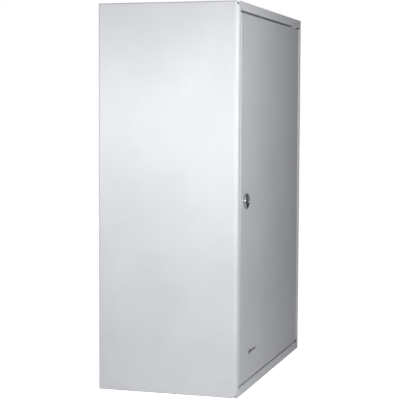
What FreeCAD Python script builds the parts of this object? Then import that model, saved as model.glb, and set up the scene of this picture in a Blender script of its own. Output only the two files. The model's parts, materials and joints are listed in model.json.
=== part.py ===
import FreeCAD, Part
import math
import os

# A floor-standing steel battery box: a folded cabinet with a flush door on hidden pins, a cam lock,
# two battery shelves and a small switching bay. Millimetres; origin at the centre of the base,
# +Z up, the door faces -Y, its lock is on the -X side and its hinge on the +X side.

os.makedirs("parts", exist_ok=True)

# Cabinet
WIDTH = 490.0
DEPTH = 250.0
HEIGHT = 670.0
SHEET = 1.5
FRONT_BEND = 7.5
REAR_BEND = 3.0
HINGE_CORNER = 8.0
PLAIN_CORNER = 2.5
FRAME_STRIP = 14.5
LIP_DEPTH = 20.0
OPENING_BEND = 3.0
CORNER_RELIEF = 2.4
OUTER_RELIEF = 1.8
MITRE_REACH = 30.0
RIVET_LEVELS = [60.0, 243.0, 427.0, 610.0]
VENT_LEVELS = [25.0, 640.0]
VENT_COUNT = 12
VENT_PITCH = 24.0

# Door
GAP_LOCK = 3.0
GAP_HINGE = 12.0
GAP_ENDS = 3.0
DOOR_DEPTH = 16.0
STOP_WIDTH = 14.0
SEAL_THICK = 2.0
STOP_END_X = 165.0

# Hinge pins, measured from the door's hinge edge and from its face
PIN_INSET = 21.0
PIN_BACK = 12.0
PIN_RADIUS = 3.0
PIN_CLEARANCE = 0.05
BUSH_RADIUS = 4.0
TOP_FLANGE = 11.8
LOW_FLANGE = 6.0
BRACKET_THICK = 3.0
BAFFLE_BACK = 26.0
BAFFLE_WIDTH = 33.0

# Lock
LOCK_X = -196.0
LOCK_Z = 333.0
LOCK_BARREL = 9.5
LOCK_BEZEL = 13.3
LOCK_PROUD = 4.5
PLUG_RADIUS = 6.0
PLUG_CLEARANCE = 0.05
CAM_LENGTH = 30.0
CAM_WIDTH = 16.0
CAM_THICK = 2.5
CAM_SEAT = 20.6
BADGE_X = -168.0
BADGE_Z = 66.0

# Shelves and batteries
SHELF_LEVELS = [45.0, 300.0]
SHELF_HALF = 240.0
SHELF_FRONT = -84.0
SHELF_BACK = 108.0
SHELF_LIP = 14.0
BATTERY_X = 197.0
BATTERY_Y = 165.0
BATTERY_Z = 170.0
BATTERY_LID = 24.0
BATTERY_GAP = 10.0
BATTERY_FRONT = -72.0
POST_RADIUS = 8.0
POST_HEIGHT = 9.0
POST_INSET_X = 26.0
POST_Y = -42.0
ROD_X = 211.0
ROD_Y = 20.0
ROD_RADIUS = 3.0
HOLD_DOWN_HEIGHT = 18.0
CABLE_X = 222.0
GROMMET_HOLE = 8.0
SHELF_SCREW_X = 231.0

# Switching bay
RAIL_Z = 572.0
RAIL_HALF = 150.0
BREAKER_X = -72.0
FUSE_X = 10.0
TERMINAL_X = 62.0
MODULE_DEPTH = 66.0
TOGGLE_TILT = 25.0
RAIL_SCREW_INSET = 12.0
POLE_OFFSET = 9.0
TERMINAL_COUNT = 5
TERMINAL_PITCH = 10.4
NEGATIVE_LEVEL = 500.0
POSITIVE_LEVEL = 512.0

# Fixings and cable entries
WALL_X = 190.0
WALL_Z = [255.0, 625.0]
FLOOR_X = 190.0
FLOOR_Y = 85.0
FIXING_HOLE = 5.0
ENTRY_Y = [30.0, 75.0]
ENTRY_Z = 600.0
ENTRY_HOLE = 11.0
ENTRY_BORE = 6.0
EARTH_Y = 30.0
EARTH_Z = 540.0
BATTERY_LEAD = 4.5
OUTPUT_LEAD = 2.75

# Places worked out from the sizes above
HALF_X = WIDTH / 2
FRONT = -DEPTH / 2
BACK = DEPTH / 2
OPEN_X = HALF_X - FRAME_STRIP
OPEN_LOW = FRAME_STRIP
OPEN_HIGH = HEIGHT - FRAME_STRIP
LIP_END = FRONT + LIP_DEPTH
DOOR_LEFT = -OPEN_X + GAP_LOCK
DOOR_RIGHT = OPEN_X - GAP_HINGE
DOOR_LOW = OPEN_LOW + GAP_ENDS
DOOR_HIGH = OPEN_HIGH - GAP_ENDS
DOOR_INNER = FRONT + SHEET
DOOR_END = FRONT + DOOR_DEPTH
PIN_X = DOOR_RIGHT - PIN_INSET
PIN_Y = FRONT + PIN_BACK
PANEL_FACE = BACK - 2 * SHEET
STOP_FACE = LIP_END - SHEET
RAIL_FACE = PANEL_FACE - 7.5
MODULE_FACE = RAIL_FACE - MODULE_DEPTH
TOGGLE_Y = MODULE_FACE + 7.0
BREAKER_LEAD_Y = MODULE_FACE + 33.0
FUSE_LEAD_Y = MODULE_FACE + 50.0
TERMINAL_LEAD_Y = RAIL_FACE - 23.0
FUSE_PIVOT_Y = MODULE_FACE + 20.0
FUSE_PIVOT_Z = RAIL_Z - 21.0
OUTER_POST = BATTERY_GAP / 2 + BATTERY_X - POST_INSET_X
LOW_LUG = SHELF_LEVELS[0] + SHEET + BATTERY_Z + POST_HEIGHT
HIGH_LUG = SHELF_LEVELS[1] + SHEET + BATTERY_Z + POST_HEIGHT


def vec(x, y, z):
    return FreeCAD.Vector(x, y, z)


def box(x0, x1, y0, y1, z0, z1):
    return Part.makeBox(x1 - x0, y1 - y0, z1 - z0, vec(x0, y0, z0))


def rod(x, y, z, radius, length, direction):
    return Part.makeCylinder(radius, length, vec(x, y, z), vec(*direction))


def hexagon(x, y, z, flats, length, direction):
    """A hexagonal prism that starts at a point and runs along Y or Z."""
    corners = [FreeCAD.Rotation(vec(0, 0, 1), 60 * i).multVec(vec(flats / 3 ** 0.5, 0, 0)) for i in range(7)]
    prism = Part.Face(Part.makePolygon(corners)).extrude(vec(0, 0, length))
    turn = FreeCAD.Rotation(vec(0, 0, 1), vec(*direction))
    prism.Placement = FreeCAD.Placement(vec(x, y, z), turn)
    return prism


def upright_rounded(shape, radius):
    """Round the edges of a block that run along Z."""
    edges = [e for e in shape.Edges if abs(e.tangentAt(e.FirstParameter).z) > 0.99]
    return shape.makeFillet(radius, edges)


def fused(shapes):
    result = shapes[0]
    for shape in shapes[1:]:
        result = result.fuse(shape)
    return result.removeSplitter()


def save(name, shapes):
    """Write one node; a list of solids is a group of separate pieces."""
    shape = Part.makeCompound(shapes) if isinstance(shapes, list) else shapes
    shape.exportStep("parts/" + name + ".step")


# ---------------------------------------------------------------- cabinet

def fold_edges(block, direction, radius_of):
    """Round each edge of a block along one direction, with a radius chosen from where it lies."""
    for x_side in (-1, 1):
        for far_side in (-1, 1):
            centre = block.BoundBox.Center
            chosen = []
            for edge in block.Edges:
                if abs(edge.tangentAt(edge.FirstParameter).dot(direction)) < 0.99:
                    continue
                offset = edge.CenterOfMass - centre
                across = offset.y if direction.z > 0.5 else offset.z
                if offset.x * x_side > 0 and across * far_side > 0 and edge.Curve.TypeId == "Part::GeomLine":
                    chosen.append(edge)
            block = block.makeFillet(radius_of[(x_side, far_side)], chosen[:1])
    return block


def case_block(inset):
    """The case as a solid: large folds on the front uprights and on the top corner over the hinge."""
    size = (-HALF_X + inset, HALF_X - inset, FRONT + inset, BACK - inset, inset, HEIGHT - inset)
    front = FRONT_BEND - inset
    rear = REAR_BEND - inset
    plain = PLAIN_CORNER - inset
    hinge = HINGE_CORNER - inset
    upright = {(-1, -1): front, (1, -1): front, (-1, 1): rear, (1, 1): rear}
    across = {(-1, -1): plain, (1, -1): plain, (-1, 1): plain, (1, 1): hinge}
    return fold_edges(box(*size), vec(0, 0, 1), upright).common(fold_edges(box(*size), vec(0, 1, 0), across))


def opening_edge_cutters():
    """Shapes that round the folded edge all round the door opening."""
    r = OPENING_BEND
    cutters = []
    for side in (-1, 1):
        corner = box(0, r, FRONT, FRONT + r, OPEN_LOW, OPEN_HIGH)
        corner = corner.cut(rod(r, FRONT + r, OPEN_LOW, r, OPEN_HIGH - OPEN_LOW, (0, 0, 1)))
        if side < 0:
            corner = corner.mirror(vec(0, 0, 0), vec(1, 0, 0))
        corner.translate(vec(side * OPEN_X, 0, 0))
        cutters.append(corner)
    for side, level in ((-1, OPEN_LOW), (1, OPEN_HIGH)):
        corner = box(-OPEN_X, OPEN_X, FRONT, FRONT + r, 0, r)
        corner = corner.cut(rod(-OPEN_X, FRONT + r, r, r, 2 * OPEN_X, (1, 0, 0)))
        if side < 0:
            corner = corner.mirror(vec(0, 0, 0), vec(0, 0, 1))
        corner.translate(vec(0, 0, level))
        cutters.append(corner)
    return cutters


def cabinet_shell():
    """The folded sheet all round: walls, front strips, return lips and rear flanges."""
    outer = case_block(0)
    cavity = case_block(SHEET)
    well = box(-OPEN_X - SHEET, OPEN_X + SHEET, FRONT, LIP_END, OPEN_LOW - SHEET, OPEN_HIGH + SHEET)
    shell = outer.cut(cavity.cut(well))
    shell = shell.cut(box(-OPEN_X, OPEN_X, FRONT - 1, LIP_END + 1, OPEN_LOW, OPEN_HIGH))
    shell = shell.cut(box(-OPEN_X, OPEN_X, BACK - 2, BACK + 1, OPEN_LOW, OPEN_HIGH))
    for cutter in opening_edge_cutters():
        shell = shell.cut(cutter)
    for x in (-OPEN_X, OPEN_X):
        for z in (OPEN_LOW, OPEN_HIGH):
            shell = shell.cut(rod(x, FRONT - 1, z, CORNER_RELIEF, LIP_DEPTH + 2, (0, 1, 0)))
    for x in (-HALF_X + 3, HALF_X - 3):
        for z in (4, HEIGHT - 4):
            shell = shell.cut(rod(x, FRONT - 1, z, OUTER_RELIEF, 6, (0, 1, 0)))
    for x, y, z in rivet_places():
        shell = shell.cut(rod(x, y, z, 2, 5, (0, 1, 0)))
    for z in (OPEN_LOW - SHEET - 1, OPEN_HIGH - 1):
        shell = shell.cut(rod(PIN_X, PIN_Y, z, BUSH_RADIUS, SHEET + 2, (0, 0, 1)))
    for x in (-FLOOR_X, FLOOR_X):
        for y in (-FLOOR_Y, FLOOR_Y):
            shell = shell.cut(rod(x, y, -1, FIXING_HOLE, SHEET + 2, (0, 0, 1)))
    for y in ENTRY_Y:
        shell = shell.cut(rod(HALF_X - SHEET - 1, y, ENTRY_Z, ENTRY_HOLE, SHEET + 2, (1, 0, 0)))
    return shell


def mitre_wedge(corners):
    """A wedge along Y whose sloping sides follow the mitred corners of the cabinet."""
    points = [vec(x, FRONT - 5, z) for x, z in corners]
    return Part.Face(Part.makePolygon(points + [points[0]])).extrude(vec(0, DEPTH + 10, 0))


def cabinet_walls():
    """The shell as four folded channels that meet at welded mitres."""
    shell = cabinet_shell()
    far = 20.0
    outer_x = HALF_X + far
    inner_x = HALF_X - MITRE_REACH
    outer_z = HEIGHT + far
    inner_z = HEIGHT - MITRE_REACH
    wedges = {
        "cabinet_top": [(-outer_x, outer_z), (outer_x, outer_z), (inner_x, inner_z), (-inner_x, inner_z)],
        "cabinet_base": [(-outer_x, -far), (outer_x, -far), (inner_x, MITRE_REACH), (-inner_x, MITRE_REACH)],
        "cabinet_left": [(-outer_x, -far), (-inner_x, MITRE_REACH),
                         (-inner_x, inner_z), (-outer_x, outer_z)],
        "cabinet_right": [(outer_x, -far), (inner_x, MITRE_REACH),
                          (inner_x, inner_z), (outer_x, outer_z)],
    }
    return {name: shell.common(mitre_wedge(corners)).Solids[0] for name, corners in wedges.items()}


def rivet_places():
    """Start points of the rivets that hold the back panel to the rear flanges."""
    return [(side * (OPEN_X + 5), PANEL_FACE, z) for side in (-1, 1) for z in RIVET_LEVELS]


def back_panel():
    """The plate inside the rear flanges, with wall fixing holes and two rows of vent slots."""
    panel = box(-HALF_X + 4, HALF_X - 4, PANEL_FACE, PANEL_FACE + SHEET, 4, HEIGHT - 4)
    for x in (-WALL_X, WALL_X):
        for z in WALL_Z:
            panel = panel.cut(rod(x, PANEL_FACE - 1, z, FIXING_HOLE, SHEET + 2, (0, 1, 0)))
    for x, y, z in rivet_places():
        panel = panel.cut(rod(x, y - 1, z, 2, SHEET + 2, (0, 1, 0)))
    for level in VENT_LEVELS:
        for i in range(VENT_COUNT):
            x = VENT_PITCH * (i - (VENT_COUNT - 1) / 2)
            slot = box(x - 8, x + 8, PANEL_FACE - 1, PANEL_FACE + SHEET + 1, level - 2, level + 2)
            panel = panel.cut(slot)
    for x in (-RAIL_HALF + RAIL_SCREW_INSET, RAIL_HALF - RAIL_SCREW_INSET):
        panel = panel.cut(rod(x, PANEL_FACE - 1, RAIL_Z, 2.5, SHEET + 2, (0, 1, 0)))
    return panel


def back_panel_rivets():
    rivets = []
    for x, y, z in rivet_places():
        head = rod(x, y - 1.5, z, 4, 1.5, (0, 1, 0))
        head = head.makeFillet(1.0, [e for e in head.Edges if e.CenterOfMass.y < y - 1.4])
        rivets.append(head.fuse(rod(x, y - 0.1, z, 2, 2 * SHEET + 0.1, (0, 1, 0))))
    return rivets


def door_stop():
    """The angle welded behind the lips on the lock side, top and bottom, which the seal is glued to."""
    outer = box(-OPEN_X, STOP_END_X, STOP_FACE, LIP_END, OPEN_LOW, OPEN_HIGH)
    inner = box(-OPEN_X + STOP_WIDTH, STOP_END_X + 1, STOP_FACE - 1, LIP_END + 1,
                OPEN_LOW + STOP_WIDTH, OPEN_HIGH - STOP_WIDTH)
    stop = outer.cut(inner)
    for z in (OPEN_LOW, OPEN_HIGH):
        stop = stop.cut(rod(-OPEN_X, STOP_FACE - 1, z, CORNER_RELIEF + 0.2, SHEET + 2, (0, 1, 0)))
    return stop


def hinge_baffle():
    """An angle behind the hinge edge that closes the wide gap and clears the swing of the door."""
    wall = HALF_X - SHEET
    face = PIN_Y + BAFFLE_BACK
    plate = box(wall - BAFFLE_WIDTH, wall, face, face + SHEET, SHEET + 0.5, HEIGHT - SHEET - 0.5)
    leg = box(wall - SHEET, wall, LIP_END + 1, face + SHEET, SHEET + HINGE_CORNER,
              HEIGHT - SHEET - HINGE_CORNER)
    baffle = plate.fuse(leg).removeSplitter()
    for z in (0, HEIGHT - HINGE_CORNER):
        corner = box(wall - HINGE_CORNER, wall + 1, face - 1, face + SHEET + 1, z, z + HINGE_CORNER)
        baffle = baffle.cut(corner)
    return baffle


def door_seal():
    """The foam strip on the stop, three sides of a frame."""
    y1 = STOP_FACE
    y0 = y1 - SEAL_THICK
    outer = box(-OPEN_X + 3, STOP_END_X - 3, y0, y1, OPEN_LOW + 3, OPEN_HIGH - 3)
    inner = box(-OPEN_X + STOP_WIDTH - 1, STOP_END_X, y0 - 1, y1 + 1,
                OPEN_LOW + STOP_WIDTH - 1, OPEN_HIGH - STOP_WIDTH + 1)
    return outer.cut(inner)


def hinge_bush(top):
    """A flanged nylon bush in the lip; the lower one carries the door, the upper one is a broad washer."""
    flange = GAP_ENDS - 0.1
    flange_radius = TOP_FLANGE if top else LOW_FLANGE
    lip = OPEN_HIGH if top else OPEN_LOW - SHEET
    body = rod(PIN_X, PIN_Y, lip, BUSH_RADIUS, SHEET, (0, 0, 1))
    flange_low = OPEN_HIGH - flange if top else OPEN_LOW
    body = body.fuse(rod(PIN_X, PIN_Y, flange_low, flange_radius, flange, (0, 0, 1)))
    bore = rod(PIN_X, PIN_Y, lip - 10, PIN_RADIUS + PIN_CLEARANCE, 25, (0, 0, 1))
    return body.cut(bore).removeSplitter()


def cable_grommets():
    grommets = []
    for y in ENTRY_Y:
        x = HALF_X - SHEET
        ring = rod(x, y, ENTRY_Z, ENTRY_HOLE, SHEET, (1, 0, 0))
        ring = ring.fuse(rod(x - 2.5, y, ENTRY_Z, ENTRY_HOLE + 3, 2.5, (1, 0, 0)))
        ring = ring.fuse(rod(x + SHEET, y, ENTRY_Z, ENTRY_HOLE + 3, 2.5, (1, 0, 0)))
        ring = ring.removeSplitter()
        rims = [e for e in ring.Edges if abs(e.BoundBox.YLength - 2 * (ENTRY_HOLE + 3)) < 0.1]
        outer = [e for e in rims if e.CenterOfMass.x < x - 2 or e.CenterOfMass.x > x + SHEET + 2]
        ring = ring.makeFillet(1.2, outer)
        grommets.append(ring.cut(rod(x - 5, y, ENTRY_Z, ENTRY_BORE, 12, (1, 0, 0))))
    return grommets


def earth_stud():
    """A threaded stud with a collar, welded to the inside of the hinge-side wall."""
    wall = HALF_X - SHEET
    stud = rod(wall, EARTH_Y, EARTH_Z, 3, 24, (-1, 0, 0))
    return stud.fuse(rod(wall, EARTH_Y, EARTH_Z, 6, 2, (-1, 0, 0))).removeSplitter()


def earth_nuts():
    nuts = []
    for offset in (3.0, 12.0):
        nut = hexagon(HALF_X - SHEET - offset, EARTH_Y, EARTH_Z, 10, 5, (-1, 0, 0))
        nuts.append(nut.cut(rod(HALF_X, EARTH_Y, EARTH_Z, 3, 30, (-1, 0, 0))))
    return nuts


# ---------------------------------------------------------------- door

def door_panel():
    """The door as a shallow tray: face and four returned edges, with a rounded fold all round."""
    low, high = DOOR_LOW, DOOR_HIGH
    outer = box(DOOR_LEFT, DOOR_RIGHT, FRONT, DOOR_END, low, high)
    front_edges = [e for e in outer.Edges if e.BoundBox.YLength < 1e-6 and e.CenterOfMass.y < FRONT + 0.1]
    outer = outer.makeFillet(OPENING_BEND, front_edges)
    inner = box(DOOR_LEFT + SHEET, DOOR_RIGHT - SHEET, DOOR_INNER, DOOR_END + 1, low + SHEET, high - SHEET)
    folds = [e for e in inner.Edges if e.BoundBox.YLength < 1e-6 and e.CenterOfMass.y < DOOR_INNER + 0.1]
    inner = inner.makeFillet(OPENING_BEND - SHEET, folds)
    door = outer.cut(inner)
    door = door.cut(rod(PIN_X, PIN_Y, low - 1, PIN_RADIUS, SHEET + 1.5, (0, 0, 1)))
    door = door.cut(rod(PIN_X, PIN_Y, high - SHEET - 0.5, PIN_RADIUS, SHEET + 1.5, (0, 0, 1)))
    return door.cut(rod(LOCK_X, FRONT - 1, LOCK_Z, LOCK_BARREL, SHEET + 2, (0, 1, 0)))


def door_stiffener():
    """A folded top-hat channel down the middle of the door's inner face."""
    x0, x1 = -60.0, 20.0
    z0, z1 = DOOR_LOW + 40, DOOR_HIGH - 40
    rear = DOOR_INNER + 13
    parts = [
        box(x0, x0 + 18, DOOR_INNER, DOOR_INNER + SHEET, z0, z1),
        box(x1 - 18, x1, DOOR_INNER, DOOR_INNER + SHEET, z0, z1),
        box(x0 + 18 - SHEET, x0 + 18, DOOR_INNER, rear, z0, z1),
        box(x1 - 18, x1 - 18 + SHEET, DOOR_INNER, rear, z0, z1),
        box(x0 + 18 - SHEET, x1 - 18 + SHEET, rear - SHEET, rear, z0, z1),
    ]
    return fused(parts)


def hinge_bracket(top):
    """A steel block welded inside the corner of the door, bored for the pin."""
    z = DOOR_HIGH - SHEET - BRACKET_THICK if top else DOOR_LOW + SHEET
    plate = box(PIN_X - 16, PIN_X + 16, DOOR_INNER, DOOR_END - 0.5, z, z + BRACKET_THICK)
    foot_z = z - 20 + BRACKET_THICK if top else z
    foot = box(PIN_X - 16, PIN_X + 16, DOOR_INNER, DOOR_INNER + 2.5, foot_z, foot_z + 20)
    bracket = plate.fuse(foot).removeSplitter()
    corner = z + BRACKET_THICK if top else z
    fold = [e for e in bracket.Edges
            if abs(e.CenterOfMass.y - DOOR_INNER) < 0.01 and abs(e.CenterOfMass.z - corner) < 0.01]
    bracket = bracket.makeFillet(OPENING_BEND - SHEET + 0.2, fold)
    return bracket.cut(rod(PIN_X, PIN_Y, z - 1, PIN_RADIUS, BRACKET_THICK + 2, (0, 0, 1)))


def hinge_pin(top):
    """A headed pin, pressed into the door's bracket and turning in the bush."""
    if top:
        shank_low = DOOR_HIGH - SHEET - BRACKET_THICK
        length = OPEN_HIGH + 5 - shank_low
        head = rod(PIN_X, PIN_Y, shank_low - 2, 4.8, 2, (0, 0, 1))
    else:
        shank_low = OPEN_LOW - 5
        length = DOOR_LOW + SHEET + BRACKET_THICK - shank_low
        head = rod(PIN_X, PIN_Y, shank_low + length, 4.8, 2, (0, 0, 1))
    pin = rod(PIN_X, PIN_Y, shank_low, PIN_RADIUS, length, (0, 0, 1))
    tip = shank_low + length if top else shank_low
    pin = pin.makeChamfer(0.8, [e for e in pin.Edges if abs(e.CenterOfMass.z - tip) < 0.01])
    return pin.fuse(head).removeSplitter()


def door_badge():
    """A plain raised emblem low on the lock side of the door: a small lozenge and a tapering bar."""
    x, z = BADGE_X, BADGE_Z
    outline = [(x, z), (x + 4, z + 5), (x + 8, z + 2.2), (x + 50, z + 1.2),
               (x + 50, z - 1.2), (x + 8, z - 2.2), (x + 4, z - 5), (x, z)]
    face = Part.Face(Part.makePolygon([vec(px, FRONT - 0.6, pz) for px, pz in outline]))
    return face.extrude(vec(0, 0.6, 0))


# ---------------------------------------------------------------- lock

def lock_housing():
    """The barrel through the door with its domed ring, bored for the plug."""
    ring = rod(LOCK_X, FRONT - LOCK_PROUD, LOCK_Z, LOCK_BEZEL, LOCK_PROUD, (0, 1, 0))
    ring = ring.makeFillet(1.4, [e for e in ring.Edges if e.CenterOfMass.y < FRONT - LOCK_PROUD + 0.1])
    barrel = rod(LOCK_X, FRONT, LOCK_Z, LOCK_BARREL, 19.0, (0, 1, 0))
    dish = rod(LOCK_X, FRONT - LOCK_PROUD - 1, LOCK_Z, 8.6, 2.2, (0, 1, 0))
    bore = rod(LOCK_X, FRONT - 10, LOCK_Z, PLUG_RADIUS + PLUG_CLEARANCE, 40, (0, 1, 0))
    return ring.fuse(barrel).removeSplitter().cut(dish).cut(bore)


def lock_nut():
    nut = hexagon(LOCK_X, DOOR_INNER, LOCK_Z, 24, 6, (0, 1, 0))
    return nut.cut(rod(LOCK_X, DOOR_INNER - 1, LOCK_Z, LOCK_BARREL, 9, (0, 1, 0)))


def lock_plug():
    """The turning core, with a key slot in its face and a square tail for the cam."""
    face = FRONT - LOCK_PROUD + 0.6
    tail = FRONT + CAM_SEAT
    core = rod(LOCK_X, face, LOCK_Z, PLUG_RADIUS, tail - face, (0, 1, 0))
    core = core.makeFillet(0.8, [e for e in core.Edges if e.CenterOfMass.y < face + 0.1])
    square = box(LOCK_X - 4, LOCK_X + 4, tail - 0.1, tail + CAM_THICK, LOCK_Z - 4, LOCK_Z + 4)
    slot = box(LOCK_X - 0.9, LOCK_X + 0.9, face - 1, face + 7, LOCK_Z - 4.2, LOCK_Z + 4.2)
    screw_hole = rod(LOCK_X, tail + CAM_THICK - 10, LOCK_Z, 2.0, 11, (0, 1, 0))
    return core.fuse(square).removeSplitter().cut(slot).cut(screw_hole)


def lock_cam():
    """The flat latch on the plug's tail, upright when unlocked."""
    tail = FRONT + CAM_SEAT
    blade = box(LOCK_X - CAM_WIDTH / 2, LOCK_X + CAM_WIDTH / 2, tail, tail + CAM_THICK,
                LOCK_Z, LOCK_Z + CAM_LENGTH)
    blade = blade.fuse(rod(LOCK_X, tail, LOCK_Z, CAM_WIDTH / 2 + 1.5, CAM_THICK, (0, 1, 0))).removeSplitter()
    tip = [e for e in blade.Edges
           if abs(e.tangentAt(e.FirstParameter).y) > 0.99 and e.CenterOfMass.z > LOCK_Z + CAM_LENGTH - 1]
    blade = blade.makeFillet(4.0, tip)
    return blade.cut(box(LOCK_X - 4, LOCK_X + 4, tail - 1, tail + CAM_THICK + 1, LOCK_Z - 4, LOCK_Z + 4))


def cam_screw():
    seat = FRONT + CAM_SEAT + CAM_THICK
    shank = rod(LOCK_X, seat - 9, LOCK_Z, 2.0, 9, (0, 1, 0))
    head = rod(LOCK_X, seat, LOCK_Z, 6.0, 3, (0, 1, 0))
    head = head.makeFillet(1.0, [e for e in head.Edges if e.CenterOfMass.y > seat + 2.9])
    cross = box(LOCK_X - 0.6, LOCK_X + 0.6, seat + 1.6, seat + 4, LOCK_Z - 3, LOCK_Z + 3)
    cross = cross.fuse(box(LOCK_X - 3, LOCK_X + 3, seat + 1.6, seat + 4, LOCK_Z - 0.6, LOCK_Z + 0.6))
    return shank.fuse(head).removeSplitter().cut(cross)


# ---------------------------------------------------------------- shelves

def shelf(level):
    """A tray with a low lip at the front and back, bored for its screws, rods and cables."""
    tray = box(-SHELF_HALF, SHELF_HALF, SHELF_FRONT, SHELF_BACK, level, level + SHEET)
    front = box(-SHELF_HALF, SHELF_HALF, SHELF_FRONT, SHELF_FRONT + SHEET, level, level + SHELF_LIP)
    back = box(-SHELF_HALF, SHELF_HALF, SHELF_BACK - SHEET, SHELF_BACK, level, level + SHELF_LIP)
    tray = fused([tray, front, back])
    for x, y in screw_places():
        tray = tray.cut(rod(x, y, level - 1, 2.5, SHEET + 2, (0, 0, 1)))
    for side in (-1, 1):
        tray = tray.cut(rod(side * ROD_X, ROD_Y, level - 1, ROD_RADIUS, SHEET + 2, (0, 0, 1)))
        tray = tray.cut(rod(side * CABLE_X, POST_Y, level - 1, GROMMET_HOLE, SHEET + 2, (0, 0, 1)))
    return tray


def screw_places():
    return [(side * SHELF_SCREW_X, y) for side in (-1, 1) for y in (-70.0, 90.0)]


def shelf_brackets(level):
    """Two angles spot-welded to the side walls under a shelf."""
    brackets = []
    for side in (-1, 1):
        wall = side * (HALF_X - SHEET)
        inner = wall - side * 20
        upright = box(min(wall, wall - side * 2), max(wall, wall - side * 2), -82, 104, level - 24, level)
        ledge = box(min(wall, inner), max(wall, inner), -82, 104, level - 2, level)
        angle = upright.fuse(ledge).removeSplitter()
        angle = angle.cut(rod(side * CABLE_X, POST_Y, level - 3, GROMMET_HOLE + 4, 4, (0, 0, 1)))
        for x, y in screw_places():
            angle = angle.cut(rod(x, y, level - 3, 2.5, 4, (0, 0, 1)))
        brackets.append(angle)
    return brackets


def shelf_screws():
    screws = []
    for level in SHELF_LEVELS:
        for x, y in screw_places():
            head = hexagon(x, y, level + SHEET, 8, 4, (0, 0, 1))
            shank = rod(x, y, level - 8, 2.5, 8 + SHEET, (0, 0, 1))
            screws.append(head.fuse(shank).removeSplitter())
    return screws


def shelf_grommets():
    rings = []
    level = SHELF_LEVELS[1]
    for side in (-1, 1):
        x = side * CABLE_X
        ring = rod(x, POST_Y, level, GROMMET_HOLE, SHEET, (0, 0, 1))
        ring = ring.fuse(rod(x, POST_Y, level - 2, GROMMET_HOLE + 2, 2, (0, 0, 1)))
        ring = ring.fuse(rod(x, POST_Y, level + SHEET, GROMMET_HOLE + 2, 2, (0, 0, 1)))
        rings.append(ring.removeSplitter().cut(rod(x, POST_Y, level - 5, 6, 12, (0, 0, 1))))
    return rings


# ---------------------------------------------------------------- batteries

def battery_places():
    """Left edge and base height of each battery, bottom shelf first."""
    lefts = (-BATTERY_GAP / 2 - BATTERY_X, BATTERY_GAP / 2)
    return [(left, level + SHEET) for level in SHELF_LEVELS for left in lefts]


def battery_case(left, base):
    """The ribbed lower box of one battery."""
    top = base + BATTERY_Z - BATTERY_LID
    back = BATTERY_FRONT + BATTERY_Y
    case = upright_rounded(box(left, left + BATTERY_X, BATTERY_FRONT, back, base, top), 5)
    for i in range(5):
        x = left + 30 + i * (BATTERY_X - 60) / 4
        groove = box(x - 2, x + 2, BATTERY_FRONT - 1, BATTERY_FRONT + 1.5, base + 14, top - 24)
        case = case.cut(groove)
    return case


def battery_lid(left, base):
    """The lid, with a sunk panel between two raised ends."""
    low = base + BATTERY_Z - BATTERY_LID
    high = base + BATTERY_Z
    back = BATTERY_FRONT + BATTERY_Y
    lid = upright_rounded(box(left, left + BATTERY_X, BATTERY_FRONT, back, low, high), 5)
    lid = lid.makeFillet(2.0, [e for e in lid.Edges if e.CenterOfMass.z > high - 0.01])
    return lid.cut(box(left + 45, left + BATTERY_X - 45, BATTERY_FRONT + 8, -18, high - 3, high + 1))


def battery_vents(left, base):
    """Round valve caps in two rows behind the posts."""
    caps = []
    for i in range(3):
        x = left + BATTERY_X / 2 + (i - 1) * 28
        cap = rod(x, 60, base + BATTERY_Z, 8, 3, (0, 0, 1))
        caps.append(cap.makeFillet(1, [e for e in cap.Edges if e.CenterOfMass.z > base + BATTERY_Z + 2.9]))
    return caps


def post_places():
    """Each battery post: x, foot height and sign."""
    posts = []
    for left, base in battery_places():
        top = base + BATTERY_Z
        upper = base > SHELF_LEVELS[1]
        signs = (1, -1) if upper else (-1, 1)
        posts.append((left + POST_INSET_X, top, signs[0]))
        posts.append((left + BATTERY_X - POST_INSET_X, top, signs[1]))
    return posts


def battery_posts():
    """Lead posts with a threaded centre for the link bolts."""
    posts = []
    for x, z, sign in post_places():
        post = rod(x, POST_Y, z, POST_RADIUS, POST_HEIGHT, (0, 0, 1))
        posts.append(post.cut(rod(x, POST_Y, z + 1, 3, POST_HEIGHT, (0, 0, 1))))
    return posts


def post_rings(sign):
    rings = []
    for x, z, own_sign in post_places():
        if own_sign == sign:
            ring = rod(x, POST_Y, z, POST_RADIUS + 4, 2.5, (0, 0, 1))
            rings.append(ring.cut(rod(x, POST_Y, z - 1, POST_RADIUS + 0.3, 5, (0, 0, 1))))
    return rings


def link_bars():
    """The straps that join the two batteries on each shelf."""
    bars = []
    reach = BATTERY_GAP / 2 + POST_INSET_X
    for level in SHELF_LEVELS:
        z = level + SHEET + BATTERY_Z + POST_HEIGHT
        bar = box(-reach - 9, reach + 9, POST_Y - 9, POST_Y + 9, z, z + 3)
        bar = upright_rounded(bar, 7)
        for x in (-reach, reach):
            bar = bar.cut(rod(x, POST_Y, z - 1, 3, 5, (0, 0, 1)))
        bars.append(bar)
    return bars


def post_bolts():
    """Hexagon bolts into every post, on top of a strap or a cable lug, each 3 mm thick."""
    bolts = []
    for x, z, sign in post_places():
        seat = z + POST_HEIGHT + 3
        shank = rod(x, POST_Y, z + 1, 3, POST_HEIGHT + 2, (0, 0, 1))
        bolts.append(shank.fuse(hexagon(x, POST_Y, seat, 10, 4.5, (0, 0, 1))).removeSplitter())
    return bolts


def hold_down_bar(level):
    """The angle across both batteries, drawn down by a rod at each end."""
    z = level + SHEET + BATTERY_Z
    reach = ROD_X + 9
    flat = box(-reach, reach, ROD_Y - 10, ROD_Y + 10, z, z + 3)
    rib = box(-reach, reach, ROD_Y + 7, ROD_Y + 10, z, z + HOLD_DOWN_HEIGHT)
    bar = flat.fuse(rib).removeSplitter()
    for side in (-1, 1):
        bar = bar.cut(rod(side * ROD_X, ROD_Y, z - 1, ROD_RADIUS, 5, (0, 0, 1)))
    return bar


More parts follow.
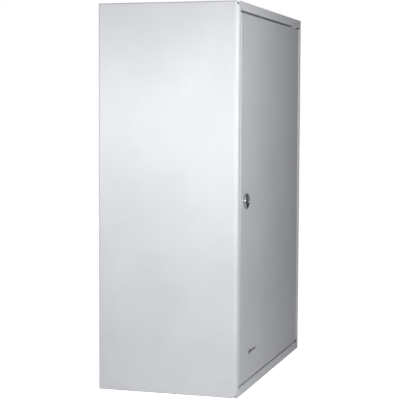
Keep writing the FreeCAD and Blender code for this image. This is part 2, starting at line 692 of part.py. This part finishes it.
def hold_down_rods():
    rods = []
    for level in SHELF_LEVELS:
        for side in (-1, 1):
            length = BATTERY_Z + 30
            rods.append(rod(side * ROD_X, ROD_Y, level - 9, ROD_RADIUS, length, (0, 0, 1)))
    return rods


def hold_down_nuts():
    nuts = []
    for level in SHELF_LEVELS:
        for side in (-1, 1):
            for z in (level - 5, level + SHEET, level + SHEET + BATTERY_Z + 3):
                nut = hexagon(side * ROD_X, ROD_Y, z, 10, 5, (0, 0, 1))
                nuts.append(nut.cut(rod(side * ROD_X, ROD_Y, z - 1, ROD_RADIUS, 7, (0, 0, 1))))
    return nuts


# ---------------------------------------------------------------- switching bay

def din_rail():
    """A 35 mm top-hat rail on the back panel."""
    y = PANEL_FACE
    parts = [
        box(-RAIL_HALF, RAIL_HALF, y - 1, y, RAIL_Z - 13.5, RAIL_Z + 13.5),
        box(-RAIL_HALF, RAIL_HALF, y - 7.5, y, RAIL_Z + 12.5, RAIL_Z + 13.5),
        box(-RAIL_HALF, RAIL_HALF, y - 7.5, y, RAIL_Z - 13.5, RAIL_Z - 12.5),
        box(-RAIL_HALF, RAIL_HALF, y - 7.5, y - 6.5, RAIL_Z + 12.5, RAIL_Z + 17.5),
        box(-RAIL_HALF, RAIL_HALF, y - 7.5, y - 6.5, RAIL_Z - 17.5, RAIL_Z - 12.5),
    ]
    rail = fused(parts)
    for x in (-RAIL_HALF + RAIL_SCREW_INSET, RAIL_HALF - RAIL_SCREW_INSET):
        rail = rail.cut(rod(x, y - 3, RAIL_Z, 2.5, 5, (0, 1, 0)))
    return rail


def rail_screws():
    screws = []
    for x in (-RAIL_HALF + RAIL_SCREW_INSET, RAIL_HALF - RAIL_SCREW_INSET):
        shank = rod(x, PANEL_FACE - 1, RAIL_Z, 2.5, SHEET + 1, (0, 1, 0))
        head = rod(x, PANEL_FACE - 4, RAIL_Z, 4.5, 3, (0, 1, 0))
        head = head.makeFillet(1.2, [e for e in head.Edges if e.CenterOfMass.y < PANEL_FACE - 3.9])
        screws.append(head.fuse(shank).removeSplitter())
    return screws


def breaker_body():
    """A two-pole breaker: stepped front, with a slot for the toggles and clamp openings."""
    x0, x1 = BREAKER_X - 18, BREAKER_X + 18
    base = box(x0, x1, MODULE_FACE + 18, RAIL_FACE, RAIL_Z - 42, RAIL_Z + 42)
    nose = box(x0, x1, MODULE_FACE, RAIL_FACE, RAIL_Z - 22, RAIL_Z + 22)
    body = base.fuse(nose).removeSplitter()
    body = body.cut(box(x0 + 4, x1 - 4, MODULE_FACE - 1, MODULE_FACE + 13, RAIL_Z - 11, RAIL_Z + 11))
    for x in (BREAKER_X - POLE_OFFSET, BREAKER_X + POLE_OFFSET):
        for side in (-1, 1):
            mouth_z = RAIL_Z + side * 42
            mouth = box(x - 5, x + 5, BREAKER_LEAD_Y - 5, BREAKER_LEAD_Y + 5, mouth_z - 12, mouth_z + 12)
            body = body.cut(mouth)
            screw = rod(x, MODULE_FACE + 17, RAIL_Z + side * 32, 3, 6, (0, 1, 0))
            body = body.cut(screw)
    return body.cut(rail_groove(x0, x1))


def rail_groove(x0, x1):
    """Clearance for the rail's edges in the back of a module that sits on it."""
    return box(x0 - 1, x1 + 1, RAIL_FACE - 2, RAIL_FACE + 1, RAIL_Z - 18, RAIL_Z + 18)


def breaker_toggle():
    """Two toggles on one spindle, joined by a bar; raised is on, and they swing down to off."""
    spindle = rod(BREAKER_X - 13.5, TOGGLE_Y, RAIL_Z, 4.5, 27, (1, 0, 0))
    levers = []
    for x in (BREAKER_X - POLE_OFFSET, BREAKER_X + POLE_OFFSET):
        levers.append(box(x - 3.5, x + 3.5, TOGGLE_Y - 16, TOGGLE_Y, RAIL_Z - 2, RAIL_Z + 2))
    bar = box(BREAKER_X - 12.5, BREAKER_X + 12.5, TOGGLE_Y - 18, TOGGLE_Y - 13, RAIL_Z - 2.5, RAIL_Z + 2.5)
    lever = fused(levers + [bar])
    lever.rotate(vec(BREAKER_X, TOGGLE_Y, RAIL_Z), vec(1, 0, 0), -TOGGLE_TILT)
    return fused([spindle, lever])


def fuse_base():
    """A one-pole fuse carrier base, open at the front for its swing-out drawer."""
    x0, x1 = FUSE_X - 13, FUSE_X + 13
    base = box(x0, x1, MODULE_FACE + 14, RAIL_FACE, RAIL_Z - 40, RAIL_Z + 40)
    base = base.cut(box(x0 + 4, x1 - 4, MODULE_FACE + 13, MODULE_FACE + 40, RAIL_Z - 36, RAIL_Z + 26))
    for side in (-1, 1):
        mouth_z = RAIL_Z + side * 40
        mouth = box(FUSE_X - 4, FUSE_X + 4, FUSE_LEAD_Y - 4, FUSE_LEAD_Y + 4, mouth_z - 12, mouth_z + 12)
        base = base.cut(mouth)
    return base.cut(rail_groove(x0, x1))


def fuse_drawer():
    """The handle that swings the cartridge out about its lower edge."""
    x0, x1 = FUSE_X - 8.5, FUSE_X + 8.5
    body = box(x0, x1, MODULE_FACE + 6, FUSE_PIVOT_Y + 3, FUSE_PIVOT_Z, RAIL_Z + 22)
    foot = rod(x0, FUSE_PIVOT_Y, FUSE_PIVOT_Z, 3, x1 - x0, (1, 0, 0))
    grip = box(x0, x1, MODULE_FACE, MODULE_FACE + 7, RAIL_Z + 12, RAIL_Z + 22)
    return fused([body, foot, grip])


def terminal_blocks():
    """A row of rail terminals."""
    blocks = []
    for i in range(TERMINAL_COUNT):
        x0 = TERMINAL_X + i * TERMINAL_PITCH
        block = box(x0, x0 + 10, RAIL_FACE - 40, RAIL_FACE, RAIL_Z - 26, RAIL_Z + 26)
        for side in (-1, 1):
            mouth_z = RAIL_Z + side * 26
            mouth = box(x0 + 2, x0 + 8, TERMINAL_LEAD_Y - 5, TERMINAL_LEAD_Y + 5, mouth_z - 8, mouth_z + 8)
            block = block.cut(mouth)
            block = block.cut(rod(x0 + 5, RAIL_FACE - 41, RAIL_Z + side * 15, 3, 6, (0, 1, 0)))
        blocks.append(block.cut(rail_groove(x0, x0 + 10)))
    return blocks


def rail_clamps():
    """End stops that keep the modules from sliding along the rail."""
    clamps = []
    for x0 in (BREAKER_X - 18 - 9.5, TERMINAL_X + TERMINAL_COUNT * TERMINAL_PITCH + 0.5):
        clamp = box(x0, x0 + 9, RAIL_FACE - 20, RAIL_FACE, RAIL_Z - 22, RAIL_Z + 22)
        clamp = clamp.cut(rail_groove(x0, x0 + 9))
        clamps.append(clamp.cut(rod(x0 + 4.5, RAIL_FACE - 21, RAIL_Z, 2.5, 6, (0, 1, 0))))
    return clamps


# ---------------------------------------------------------------- cables

def routed_cable(radius, places):
    """A round cable along straight runs joined by tangent arcs."""
    points = [vec(*place) for place in places]
    edges = []
    start = points[0]
    for before, corner, after in zip(points, points[1:], points[2:]):
        incoming = (corner - before).normalize()
        outgoing = (after - corner).normalize()
        half_turn = incoming.getAngle(outgoing) / 2
        run = min((corner - before).Length, (after - corner).Length)
        setback = 0.45 * run
        first = corner - incoming * setback
        last = corner + outgoing * setback
        inward = (outgoing - incoming).normalize()
        bend = setback / math.tan(half_turn)
        centre = corner + inward * (bend / math.cos(half_turn))
        middle = centre - inward * bend
        edges.append(Part.LineSegment(start, first).toShape())
        edges.append(Part.Arc(first, middle, last).toShape())
        start = last
    edges.append(Part.LineSegment(start, points[-1]).toShape())
    path = Part.Wire(edges)
    direction = (points[1] - points[0]).normalize()
    section = Part.Wire(Part.makeCircle(radius, points[0], direction))
    return path.makePipeShell([section], True, True)


def lug(x, z, toward_x):
    """A crimped lug on a post: an eye under the bolt and a barrel that the cable enters."""
    eye = rod(x, POST_Y, z, 9, 3, (0, 0, 1))
    tongue = box(min(x, x + toward_x * 16), max(x, x + toward_x * 16), POST_Y - 5.5, POST_Y + 5.5, z, z + 3)
    barrel_x = x + toward_x * 12
    barrel = rod(barrel_x, POST_Y, z + 5.5, 6, 12, (toward_x, 0, 0))
    body = fused([eye, tongue, barrel])
    body = body.cut(rod(x, POST_Y, z - 1, 3, 12, (0, 0, 1)))
    mouth_x = barrel_x + toward_x * 3
    return body.cut(rod(mouth_x, POST_Y, z + 5.5, BATTERY_LEAD, 10, (toward_x, 0, 0)))


def cable_lugs():
    """One lug on each post that ends the series chain or carries the link between the shelves."""
    return [
        lug(-OUTER_POST, LOW_LUG, -1),
        lug(OUTER_POST, LOW_LUG, 1),
        lug(OUTER_POST, HIGH_LUG, 1),
        lug(-OUTER_POST, HIGH_LUG, 1),
    ]


def black_leads():
    """The negative lead to the breaker, the link between the shelves and the negative output."""
    start = OUTER_POST + 15
    low = LOW_LUG + 5.5
    high = HIGH_LUG + 5.5
    pole = BREAKER_X - POLE_OFFSET
    first_terminal = TERMINAL_X + 5
    negative = [(-start, POST_Y, low), (-CABLE_X, POST_Y, low), (-CABLE_X, POST_Y, NEGATIVE_LEVEL),
                (pole, BREAKER_LEAD_Y, NEGATIVE_LEVEL), (pole, BREAKER_LEAD_Y, RAIL_Z - 32)]
    link = [(start, POST_Y, low), (CABLE_X, POST_Y, low), (CABLE_X, POST_Y, high), (start, POST_Y, high)]
    output = [(pole, BREAKER_LEAD_Y, RAIL_Z + 32), (pole, BREAKER_LEAD_Y, RAIL_Z + 68),
              (first_terminal, TERMINAL_LEAD_Y, RAIL_Z + 68), (first_terminal, TERMINAL_LEAD_Y, RAIL_Z + 20)]
    return [routed_cable(BATTERY_LEAD, negative), routed_cable(BATTERY_LEAD, link),
            routed_cable(OUTPUT_LEAD, output)]


def red_leads():
    """The positive lead to the breaker, then on to the fuse and the last terminal."""
    high = HIGH_LUG + 5.5
    pole = BREAKER_X + POLE_OFFSET
    last_terminal = TERMINAL_X + (TERMINAL_COUNT - 1) * TERMINAL_PITCH + 5
    positive = [(-OUTER_POST + 15, POST_Y, high), (-OUTER_POST + 46, POST_Y, high),
                (pole, 40, POSITIVE_LEVEL), (pole, BREAKER_LEAD_Y, POSITIVE_LEVEL),
                (pole, BREAKER_LEAD_Y, RAIL_Z - 32)]
    to_fuse = [(pole, BREAKER_LEAD_Y, RAIL_Z + 32), (pole, BREAKER_LEAD_Y, RAIL_Z + 55),
               (FUSE_X, FUSE_LEAD_Y, RAIL_Z + 55), (FUSE_X, FUSE_LEAD_Y, RAIL_Z + 30)]
    output = [(FUSE_X, FUSE_LEAD_Y, RAIL_Z - 30), (FUSE_X, FUSE_LEAD_Y, RAIL_Z - 54),
              (last_terminal, TERMINAL_LEAD_Y, RAIL_Z - 54), (last_terminal, TERMINAL_LEAD_Y, RAIL_Z - 20)]
    return [routed_cable(BATTERY_LEAD, positive), routed_cable(OUTPUT_LEAD, to_fuse),
            routed_cable(OUTPUT_LEAD, output)]


# ---------------------------------------------------------------- the assembly

for wall_name, wall in cabinet_walls().items():
    save(wall_name, wall)
save("back_panel", back_panel())
save("back_panel_rivets", back_panel_rivets())
save("door_stop", door_stop())
save("hinge_baffle", hinge_baffle())
save("door_seal", door_seal())
save("cable_grommets", cable_grommets())
save("earth_stud", earth_stud())
save("earth_nuts", earth_nuts())

for end, at_top in (("top", True), ("low", False)):
    save("hinge_bush_" + end, hinge_bush(at_top))
    save("hinge_bracket_" + end, hinge_bracket(at_top))
    save("hinge_pin_" + end, hinge_pin(at_top))

save("door_panel", door_panel())
save("door_stiffener", door_stiffener())
save("door_badge", door_badge())
save("lock_housing", lock_housing())
save("lock_nut", lock_nut())
save("lock_plug", lock_plug())
save("lock_cam", lock_cam())
save("cam_screw", cam_screw())

for name, shelf_level in zip(("low", "high"), SHELF_LEVELS):
    save("shelf_" + name, shelf(shelf_level))
    save("shelf_brackets_" + name, shelf_brackets(shelf_level))
save("shelf_screws", shelf_screws())
save("shelf_grommets", shelf_grommets())

all_vents = []
for number, (battery_left, battery_base) in enumerate(battery_places(), start=1):
    save("battery_case_" + str(number), battery_case(battery_left, battery_base))
    save("battery_lid_" + str(number), battery_lid(battery_left, battery_base))
    all_vents.extend(battery_vents(battery_left, battery_base))
save("battery_vents", all_vents)
save("battery_posts", battery_posts())
save("positive_rings", post_rings(1))
save("negative_rings", post_rings(-1))
save("link_bars", link_bars())
save("post_bolts", post_bolts())
save("hold_down_bars", [hold_down_bar(level) for level in SHELF_LEVELS])
save("hold_down_rods", hold_down_rods())
save("hold_down_nuts", hold_down_nuts())

save("din_rail", din_rail())
save("rail_screws", rail_screws())
save("breaker_body", breaker_body())
save("breaker_toggle", breaker_toggle())
save("fuse_base", fuse_base())
save("fuse_drawer", fuse_drawer())
save("terminal_blocks", terminal_blocks())
save("rail_clamps", rail_clamps())
save("cable_lugs", cable_lugs())
save("black_leads", black_leads())
save("red_leads", red_leads())
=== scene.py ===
import bpy
import json
from mathutils import Matrix, Vector


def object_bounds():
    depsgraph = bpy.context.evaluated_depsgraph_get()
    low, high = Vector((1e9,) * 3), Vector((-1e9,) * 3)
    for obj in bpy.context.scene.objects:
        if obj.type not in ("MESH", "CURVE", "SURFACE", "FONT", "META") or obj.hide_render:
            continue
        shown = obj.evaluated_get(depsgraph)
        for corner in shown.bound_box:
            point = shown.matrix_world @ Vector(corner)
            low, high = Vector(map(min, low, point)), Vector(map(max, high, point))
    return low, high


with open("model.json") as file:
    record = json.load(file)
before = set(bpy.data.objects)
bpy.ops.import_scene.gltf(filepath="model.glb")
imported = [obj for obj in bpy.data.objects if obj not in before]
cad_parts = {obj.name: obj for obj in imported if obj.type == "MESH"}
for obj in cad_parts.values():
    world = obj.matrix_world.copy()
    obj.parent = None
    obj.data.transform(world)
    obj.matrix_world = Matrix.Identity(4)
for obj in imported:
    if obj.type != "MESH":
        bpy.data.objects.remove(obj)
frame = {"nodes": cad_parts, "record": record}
cad_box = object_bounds()
nodes = frame["nodes"]
floor_level = cad_box[0].z
FLOOR_SIZE = 30
FLOOR_GLOW = 0.9
SENSOR_WIDTH = 36.0
LENS_LENGTH = 111.2


# ---------------------------------------------------------------- materials

class Shader:
    """A principled material with short helpers for its procedural detail."""

    def __init__(self, name, metallic=0.0, ior=1.5):
        self.material = bpy.data.materials.new(name)
        self.material.use_nodes = True
        self.tree = self.material.node_tree
        self.bsdf = self.tree.nodes["Principled BSDF"]
        self.bsdf.inputs["Metallic"].default_value = metallic
        self.bsdf.inputs["IOR"].default_value = ior
        self.place = self.tree.nodes.new("ShaderNodeTexCoord").outputs["Object"]
        self.normal = None

    def noise(self, scale, detail=3.0, roughness=0.5, stretch=(1, 1, 1)):
        mapping = self.tree.nodes.new("ShaderNodeMapping")
        mapping.inputs["Scale"].default_value = stretch
        self.tree.links.new(self.place, mapping.inputs["Vector"])
        node = self.tree.nodes.new("ShaderNodeTexNoise")
        node.inputs["Scale"].default_value = scale
        node.inputs["Detail"].default_value = detail
        node.inputs["Roughness"].default_value = roughness
        self.tree.links.new(mapping.outputs["Vector"], node.inputs["Vector"])
        return node.outputs["Fac"]

    def cells(self, scale):
        node = self.tree.nodes.new("ShaderNodeTexVoronoi")
        node.inputs["Scale"].default_value = scale
        self.tree.links.new(self.place, node.inputs["Vector"])
        return node.outputs["Color"]

    def ramp(self, value, stops):
        node = self.tree.nodes.new("ShaderNodeValToRGB")
        self.tree.links.new(value, node.inputs["Fac"])
        first, last = node.color_ramp.elements[0], node.color_ramp.elements[1]
        first.position, first.color = stops[0]
        last.position, last.color = stops[-1]
        for position, color in stops[1:-1]:
            node.color_ramp.elements.new(position).color = color
        return node.outputs["Color"]

    def color(self, value, dark, light, low_stop=0.3, high_stop=0.7):
        mixed = self.ramp(value, [(low_stop, (*dark, 1)), (high_stop, (*light, 1))])
        self.tree.links.new(mixed, self.bsdf.inputs["Base Color"])
        return self

    def rough(self, value, smooth, coarse):
        node = self.tree.nodes.new("ShaderNodeMapRange")
        node.inputs["To Min"].default_value = smooth
        node.inputs["To Max"].default_value = coarse
        self.tree.links.new(value, node.inputs["Value"])
        self.tree.links.new(node.outputs["Result"], self.bsdf.inputs["Roughness"])
        return self

    def bump(self, value, strength, distance):
        node = self.tree.nodes.new("ShaderNodeBump")
        node.inputs["Strength"].default_value = strength
        node.inputs["Distance"].default_value = distance
        self.tree.links.new(value, node.inputs["Height"])
        if self.normal is not None:
            self.tree.links.new(self.normal, node.inputs["Normal"])
        self.normal = node.outputs["Normal"]
        self.tree.links.new(self.normal, self.bsdf.inputs["Normal"])
        return self

    def coat(self, weight, roughness):
        self.bsdf.inputs["Coat Weight"].default_value = weight
        self.bsdf.inputs["Coat Roughness"].default_value = roughness
        return self


def powder_coat():
    """Light grey baked powder paint: orange peel, faint cloudiness and dust."""
    s = Shader("powder_coat")
    s.color(s.noise(9, 5, 0.6), (0.62, 0.632, 0.655), (0.68, 0.69, 0.708))
    s.rough(s.noise(40, 3), 0.34, 0.46)
    s.bump(s.noise(650, 2, 0.5), 0.10, 0.0004)
    s.bump(s.noise(2600, 1, 0.5), 0.06, 0.0002)
    return s.coat(0.12, 0.3).material


def door_paint_painted_shade():
    """The same paint on the door, its colour made a shade darker as painted shade for the less-lit
    door face, with a finer skin.
    """
    s = Shader("door_paint_painted_shade")
    # darker base colour than powder_coat: painted shade standing in for the door face catching less
    # light
    s.color(s.noise(7, 5, 0.6), (0.54, 0.55, 0.573), (0.59, 0.60, 0.62))
    s.rough(s.noise(40, 3), 0.36, 0.48)
    s.bump(s.noise(650, 2, 0.5), 0.10, 0.0004)
    s.bump(s.noise(2600, 1, 0.5), 0.06, 0.0002)
    return s.coat(0.10, 0.3).material


def zinc():
    """Zinc-plated sheet: a cold metal with a faint crystal pattern."""
    s = Shader("zinc_sheet", metallic=0.95)
    s.color(s.cells(90), (0.52, 0.535, 0.56), (0.66, 0.675, 0.70), 0.0, 1.0)
    s.rough(s.noise(60, 4), 0.26, 0.48)
    return s.bump(s.noise(900, 2), 0.08, 0.0003).material


def bright_steel():
    """Plated screws, pins and nuts with fine turning marks."""
    s = Shader("bright_steel", metallic=1.0)
    s.color(s.noise(120, 4), (0.50, 0.505, 0.51), (0.68, 0.68, 0.67))
    s.rough(s.noise(300, 3), 0.18, 0.38)
    return s.bump(s.noise(700, 2, 0.5, (1, 1, 8)), 0.12, 0.0003).material


def chrome():
    """Polished lock metal, with hairline scratches in its gloss."""
    s = Shader("lock_chrome", metallic=1.0)
    s.color(s.noise(150, 3), (0.42, 0.43, 0.45), (0.54, 0.55, 0.57))
    s.rough(s.noise(500, 4, 0.6, (1, 1, 12)), 0.03, 0.12)
    return s.bump(s.noise(900, 3, 0.6, (1, 1, 14)), 0.05, 0.0002).material


def moulded(name, dark, light, smooth=0.38, coarse=0.55, grain=900, relief=0.18):
    """Moulded plastic with a fine spark-eroded grain."""
    s = Shader(name)
    s.color(s.noise(18, 4), dark, light)
    s.rough(s.noise(90, 3), smooth, coarse)
    return s.bump(s.noise(grain, 2, 0.6), relief, 0.0004).material


def foam():
    """Closed-cell foam with an open, pitted skin."""
    s = Shader("foam_skin")
    s.color(s.noise(300, 4), (0.018, 0.018, 0.019), (0.045, 0.045, 0.047))
    s.rough(s.noise(200, 3), 0.82, 0.95)
    return s.bump(s.cells(420), 0.5, 0.0008).material


def rubber(name, dark, light):
    """Soft black rubber, a little bloomed."""
    s = Shader(name)
    s.color(s.noise(60, 4), dark, light)
    s.rough(s.noise(160, 3), 0.55, 0.78)
    s.bsdf.inputs["Sheen Weight"].default_value = 0.15
    return s.bump(s.noise(800, 2), 0.15, 0.0004).material


def metal(name, dark, light, smooth, coarse):
    """Bare soft metal with tarnish and handling marks."""
    s = Shader(name, metallic=1.0)
    s.color(s.noise(70, 5, 0.65), dark, light)
    s.rough(s.noise(140, 4), smooth, coarse)
    return s.bump(s.noise(500, 3), 0.14, 0.0004).material


FINISHES = {
    "painted_steel": powder_coat(),
    "zinc_steel": zinc(),
    "bright_fixings": bright_steel(),
    "chrome_lock": chrome(),
    "foam_seal": foam(),
    "rubber_grommet": rubber("grommet_rubber", (0.022, 0.022, 0.023), (0.05, 0.05, 0.052)),
    "nylon": moulded("nylon_white", (0.60, 0.60, 0.56), (0.74, 0.74, 0.70), 0.35, 0.5),
    "badge_grey": moulded("badge_grey", (0.10, 0.105, 0.115), (0.15, 0.155, 0.165), 0.3, 0.45),
    "battery_grey": moulded("battery_grey", (0.075, 0.08, 0.088), (0.11, 0.115, 0.125),
                            0.45, 0.62, 700, 0.3),
    "battery_lid_black": moulded("battery_black", (0.016, 0.017, 0.019), (0.032, 0.033, 0.036),
                                 0.4, 0.58, 700, 0.3),
    "lead_metal": metal("lead_post", (0.24, 0.25, 0.27), (0.42, 0.43, 0.45), 0.42, 0.65),
    "red_plastic": moulded("ring_red", (0.42, 0.015, 0.012), (0.55, 0.03, 0.02)),
    "black_plastic": moulded("toggle_black", (0.012, 0.012, 0.013), (0.026, 0.026, 0.028)),
    "tinned_copper": metal("link_copper", (0.62, 0.30, 0.16), (0.80, 0.44, 0.27), 0.2, 0.4),
    "module_grey": moulded("module_grey", (0.52, 0.535, 0.54), (0.62, 0.63, 0.63), 0.35, 0.5),
    "terminal_beige": moulded("terminal_beige", (0.44, 0.40, 0.30), (0.54, 0.50, 0.39), 0.4, 0.55),
    "black_cable": rubber("cable_black", (0.012, 0.012, 0.013), (0.028, 0.028, 0.03)),
    "red_cable": rubber("cable_red", (0.36, 0.012, 0.010), (0.50, 0.025, 0.02)),
}


def finish_nodes():
    """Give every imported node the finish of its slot."""
    for entry in frame["record"]["subparts"]:
        mesh = nodes[entry["node"]].data
        mesh.materials.clear()
        mesh.materials.append(FINISHES[entry["material_slot"]])
    # the door gets the darker copy of the cabinet paint: painted shade, not a different paint
    nodes["door_panel"].data.materials[0] = door_paint_painted_shade()


finish_nodes()


# ---------------------------------------------------------------- stage

def lamp(name, size, place, target, power):
    data = bpy.data.lights.new(name, "AREA")
    data.shape = "RECTANGLE"
    data.size, data.size_y = size
    data.energy = power
    light = bpy.data.objects.new(name, data)
    bpy.context.scene.collection.objects.link(light)
    light.location = place
    light.rotation_euler = (Vector(target) - Vector(place)).to_track_quat("-Z", "Y").to_euler()


def brighten_for_view(s):
    """Lift the floor to the backdrop's white without lighting the object from below."""
    nodes_of, links = s.tree.nodes, s.tree.links
    glow = nodes_of.new("ShaderNodeEmission")
    path = nodes_of.new("ShaderNodeLightPath")
    strength = nodes_of.new("ShaderNodeMath")
    strength.operation = "MULTIPLY"
    strength.inputs[1].default_value = FLOOR_GLOW
    links.new(path.outputs["Is Camera Ray"], strength.inputs[0])
    links.new(strength.outputs["Value"], glow.inputs["Strength"])
    both = nodes_of.new("ShaderNodeAddShader")
    links.new(s.bsdf.outputs["BSDF"], both.inputs[0])
    links.new(glow.outputs["Emission"], both.inputs[1])
    links.new(both.outputs["Shader"], nodes_of["Material Output"].inputs["Surface"])


def studio():
    """A pale floor and four soft lights: a key on the lock side, door and gap fills, and one above."""
    bpy.ops.mesh.primitive_plane_add(size=FLOOR_SIZE, location=(0, 0, floor_level))
    floor = bpy.context.object
    floor.name = "studio_floor"
    s = Shader("studio_floor_paint")
    s.color(s.noise(2, 2), (0.90, 0.90, 0.90), (0.93, 0.93, 0.93))
    s.bsdf.inputs["Roughness"].default_value = 0.9
    brighten_for_view(s)
    floor.data.materials.append(s.material)
    lamp("key", (1.5, 0.2), (-0.84, -0.22, 0.48), (-0.24, -0.22, 0.46), 6.1)
    lamp("door_fill", (0.12, 0.6), (-0.30, -0.66, 0.64), (-0.22, -0.125, 0.60), 1.7)
    lamp("gap_fill", (0.05, 0.6), (-0.55, -0.62, 0.45), (0.24, -0.12, 0.35), 0.45)
    lamp("top", (1.6, 1.6), (0.0, 0.2, 2.4), (0.0, 0.0, 0.4), 5)
    world = bpy.data.worlds.new("studio")
    world.use_nodes = True
    tree = world.node_tree
    background = tree.nodes["Background"]
    background.inputs["Color"].default_value = (0.11, 0.113, 0.118, 1)
    white = tree.nodes.new("ShaderNodeBackground")
    white.inputs["Color"].default_value = (1, 1, 1, 1)
    mix = tree.nodes.new("ShaderNodeMixShader")
    path = tree.nodes.new("ShaderNodeLightPath")
    tree.links.new(path.outputs["Is Camera Ray"], mix.inputs["Fac"])
    tree.links.new(background.outputs["Background"], mix.inputs[1])
    tree.links.new(white.outputs["Background"], mix.inputs[2])
    tree.links.new(mix.outputs["Shader"], tree.nodes["World Output"].inputs["Surface"])
    bpy.context.scene.world = world
    bpy.context.scene.view_settings.view_transform = "Standard"


def camera():
    """A long lens well to the lock side, a little above mid height."""
    data = bpy.data.cameras.new("camera")
    data.sensor_width = SENSOR_WIDTH
    data.lens = LENS_LENGTH
    eye = bpy.data.objects.new("camera", data)
    bpy.context.scene.collection.objects.link(eye)
    right = Vector((0.2889, -0.9574, 0.0043))
    up = Vector((0.0666, 0.0246, 0.9975))
    back = right.cross(up)
    turn = Matrix((right, up, back)).transposed().to_4x4()
    eye.matrix_world = Matrix.Translation((-2.2408, -0.6603, 0.4847)) @ turn
    bpy.context.scene.camera = eye


studio()
camera()
